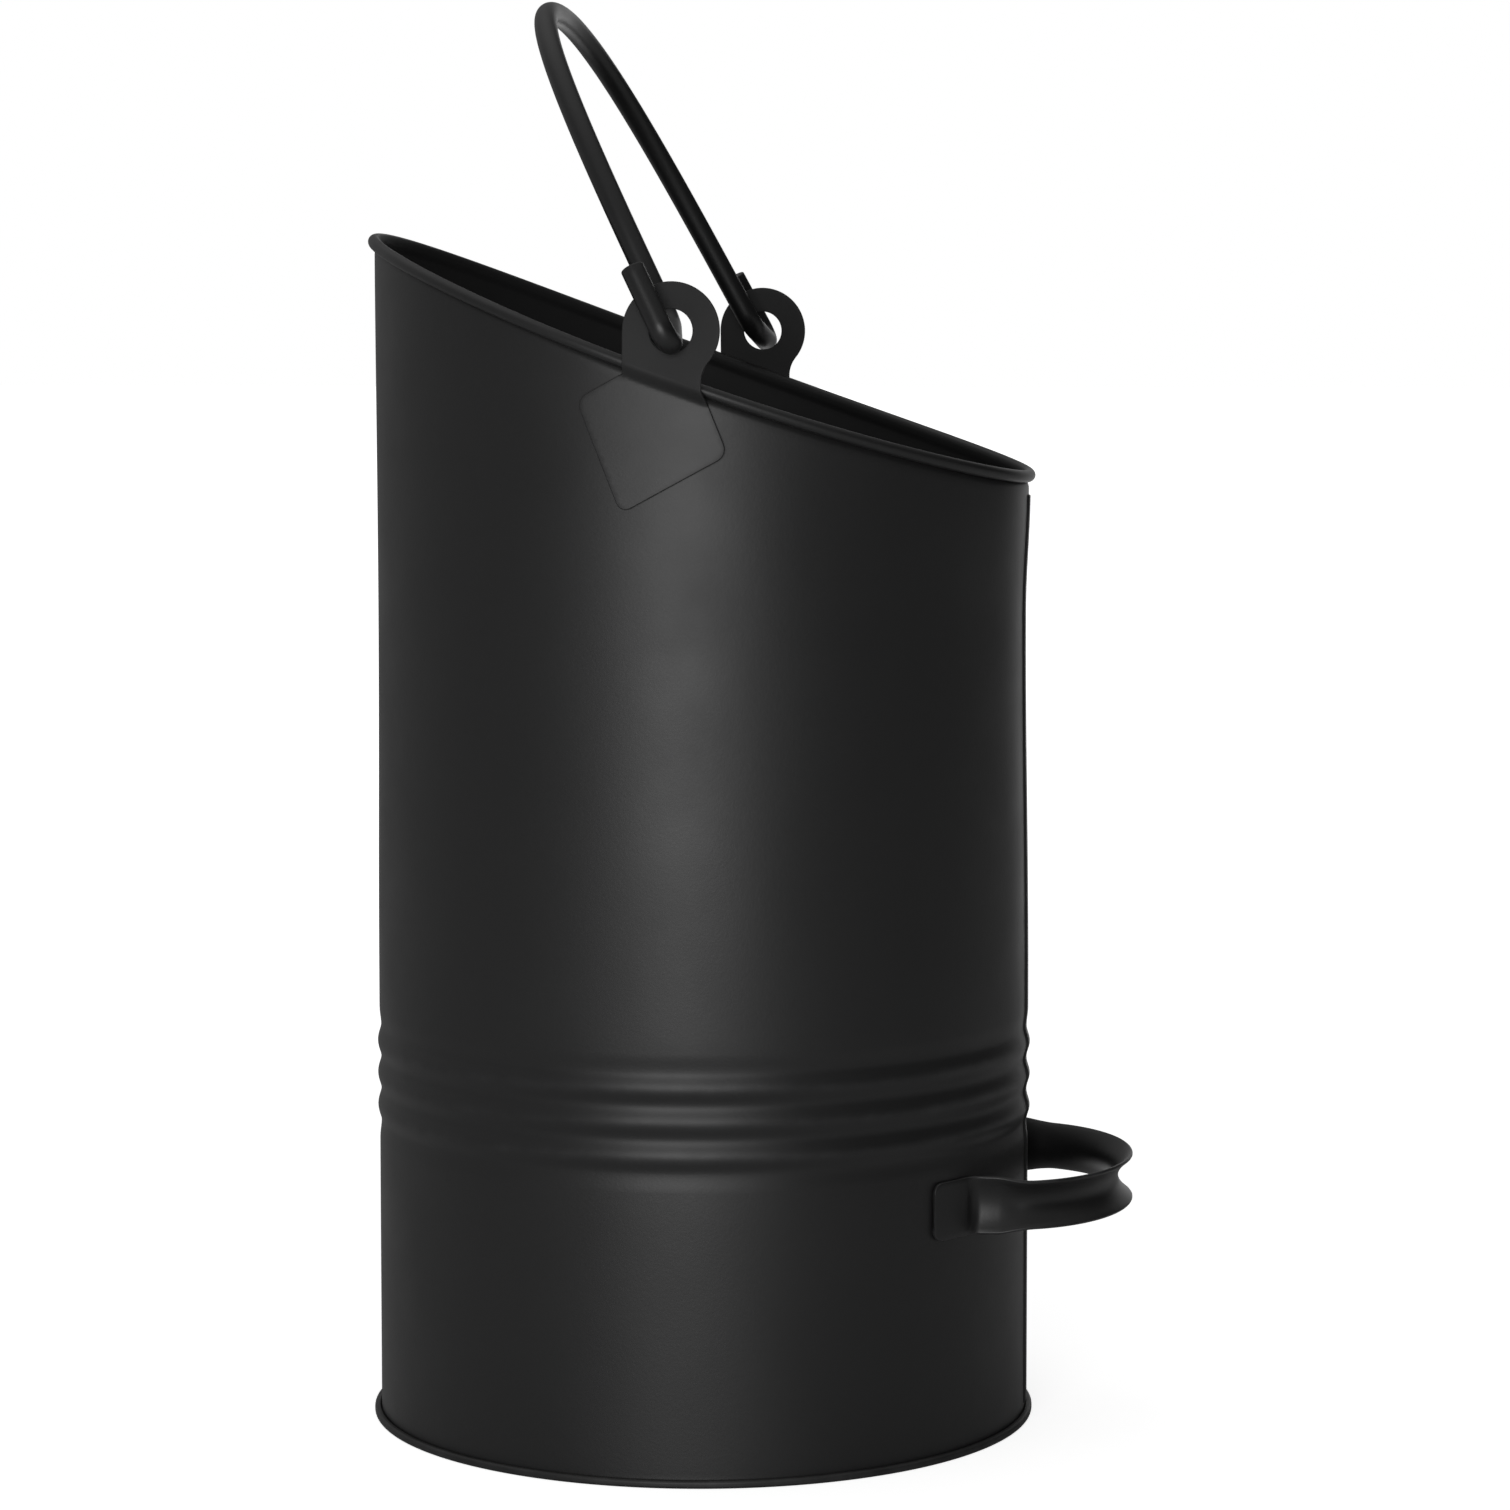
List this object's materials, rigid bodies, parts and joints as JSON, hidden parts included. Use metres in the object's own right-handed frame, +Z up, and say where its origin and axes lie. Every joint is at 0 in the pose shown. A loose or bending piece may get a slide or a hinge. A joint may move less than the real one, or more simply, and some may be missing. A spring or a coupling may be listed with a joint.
{
  "type": "coal scuttle",
  "caption": "Tall round steel coal scuttle with a slanted pouring mouth, swaged ribs, a swinging bail on two ears and a fixed strap grab handle low at the back.",
  "frame": {"origin": "centre of the underside of the base, on the floor", "axes": "+Z up, +X towards the low side of the mouth and the grab handle, -X the tall pouring side, +Y through the right-hand ear"},
  "size_m": [0.2987, 0.2936, 0.551],
  "materials": {
    "satin_black_coat": "satin black powder coat with a very fine texture",
    "bare_steel_rod": "plain drawn steel rod, hidden inside the rim"
  },
  "bodies": {
    "scuttle": {"body_shell": "satin_black_coat", "rim_wire": "bare_steel_rod", "base_pan": "satin_black_coat", "bail_ear_left": "satin_black_coat", "bail_ear_right": "satin_black_coat", "grab_handle": "satin_black_coat"},
    "bail": {"bail_handle": "satin_black_coat"}
  },
  "joints": [
    {"name": "bail_swing", "type": "hinge", "parent": "scuttle", "child": "bail", "pos_m": [0.0069, 0, 0.42125], "axis": [0, 1, 0], "range_deg": [-43, 138.5]}
  ]
}
